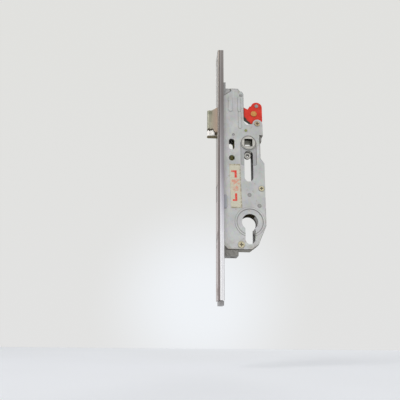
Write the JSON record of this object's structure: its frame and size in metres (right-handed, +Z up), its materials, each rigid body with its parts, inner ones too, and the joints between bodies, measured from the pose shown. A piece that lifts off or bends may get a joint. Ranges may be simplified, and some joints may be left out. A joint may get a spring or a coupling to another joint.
{
  "type": "multipoint door lock",
  "caption": "Multipoint door lock case on a channel faceplate, with a sprung latch, a dead bolt, a handle follower and a gear train that drives a locking rail.",
  "frame": {"origin": "centre of the cylinder bore on the middle plane of the case", "axes": "+X from the faceplate into the door, -Y towards the case's cover and the viewer, +Z up along the faceplate"},
  "size_m": [0.0638, 0.024, 0.2964],
  "materials": {
    "plate_zinc": "zinc plated pressed plate, light grey, fine blotches",
    "plate_back": "zinc plated folded plate",
    "strip_nickel": "silver finished strip with a long brushed grain",
    "rail_steel": "zinc plated flat bar",
    "cast_zinc": "die cast zinc, dull grey",
    "latch_nickel": "nickel plated, warm beige, worn edges",
    "bolt_nickel": "nickel plated dead bolt",
    "gear_steel": "sintered steel, oiled",
    "brass_part": "yellow passivated",
    "slider_yellow": "yellow green passivated strip",
    "spring_steel": "spring wire",
    "lever_red": "red lacquer, worn at the edges",
    "rivet_copper": "coppery brass rivet head",
    "screw_bronze": "bronze coloured plating",
    "screw_yellow": "yellow passivated screw",
    "rivet_steel": "bare steel rivet",
    "label_paper": "printed paper sticker, beige, red marks"
  },
  "bodies": {
    "lock_case": {"faceplate": "strip_nickel", "case_cover": "plate_zinc", "case_tray": "plate_back", "top_lug": "cast_zinc", "foot_lug": "cast_zinc", "latch_guide": "brass_part", "latch_spring": "spring_steel", "return_spring": "spring_steel", "gear_axles": "rivet_steel", "lever_screw": "screw_bronze", "side_screw": "screw_yellow", "foot_screw": "screw_yellow", "cylinder_screw": "rivet_steel", "tie_rivet": "rivet_steel", "cover_pin": "slider_yellow", "label": "label_paper"},
    "latch": {"latch_head": "latch_nickel", "latch_tail": "rail_steel"},
    "dead_bolt": {"dead_bolt": "bolt_nickel", "bolt_tail": "rail_steel"},
    "cylinder_gear": {"cylinder_gear": "gear_steel"},
    "right_idler": {"right_idler_gear": "gear_steel"},
    "left_idler": {"left_idler_gear": "gear_steel"},
    "drive_gear": {"drive_gear": "gear_steel"},
    "drive": {"drive_slider": "slider_yellow", "drive_bracket": "cast_zinc", "drive_rail": "rail_steel"},
    "follower": {"spindle_follower": "cast_zinc"},
    "return_plunger": {"return_plunger": "brass_part"},
    "lever": {"red_lever": "lever_red", "lever_rivet": "rivet_copper", "lever_stud": "rivet_steel"}
  },
  "joints": [
    {"name": "handle_turn", "type": "hinge", "parent": "lock_case", "child": "follower", "pos_m": [0, 0, 0.092], "axis": [0, 1, 0], "range_deg": [0, 35]},
    {"name": "latch_slide", "type": "slide", "parent": "lock_case", "child": "latch", "axis": [1, 0, 0], "range_m": [0, 0.0108], "stiffness_N_per_m": 600, "springref_m": -0.01, "deforming": ["latch_spring"]},
    {"name": "return_plunger_slide", "type": "slide", "parent": "lock_case", "child": "return_plunger", "axis": [0, 0, -1], "range_m": [0, 0.0051], "deforming": ["return_spring"]},
    {"name": "key_turn", "type": "hinge", "parent": "lock_case", "child": "cylinder_gear", "pos_m": [0, 0, 0], "axis": [0, -1, 0], "range_deg": [0, 360]},
    {"name": "right_idler_turn", "type": "hinge", "parent": "lock_case", "child": "right_idler", "pos_m": [0.0106, 0, 0.01813], "axis": [0, -1, 0], "range_deg": [-900, 0]},
    {"name": "left_idler_turn", "type": "hinge", "parent": "lock_case", "child": "left_idler", "pos_m": [-0.0106, 0, 0.01813], "axis": [0, -1, 0], "range_deg": [-900, 0]},
    {"name": "drive_gear_turn", "type": "hinge", "parent": "lock_case", "child": "drive_gear", "pos_m": [0, 0, 0.03011], "axis": [0, -1, 0], "range_deg": [0, 252]},
    {"name": "dead_bolt_slide", "type": "slide", "parent": "lock_case", "child": "dead_bolt", "axis": [-1, 0, 0], "range_m": [0, 0.0154]},
    {"name": "drive_slide", "type": "slide", "parent": "lock_case", "child": "drive", "axis": [0, 0, -1], "range_m": [0, 0.01979]},
    {"name": "red_lever_swing", "type": "hinge", "parent": "lock_case", "child": "lever", "pos_m": [0.0105, 0, 0.1156], "axis": [0, 1, 0], "range_deg": [0, 12]}
  ],
  "couplings": [
    {"joint": "handle_turn", "follows": "latch_slide", "rad_per_m": 56.56},
    {"joint": "return_plunger_slide", "follows": "latch_slide", "ratio": 0.4695},
    {"joint": "key_turn", "follows": "drive_slide", "rad_per_m": 317.46},
    {"joint": "right_idler_turn", "follows": "drive_slide", "rad_per_m": -793.65},
    {"joint": "left_idler_turn", "follows": "drive_slide", "rad_per_m": -793.65},
    {"joint": "drive_gear_turn", "follows": "drive_slide", "rad_per_m": 222.22},
    {"joint": "dead_bolt_slide", "follows": "drive_slide", "ratio": 0.77778}
  ]
}
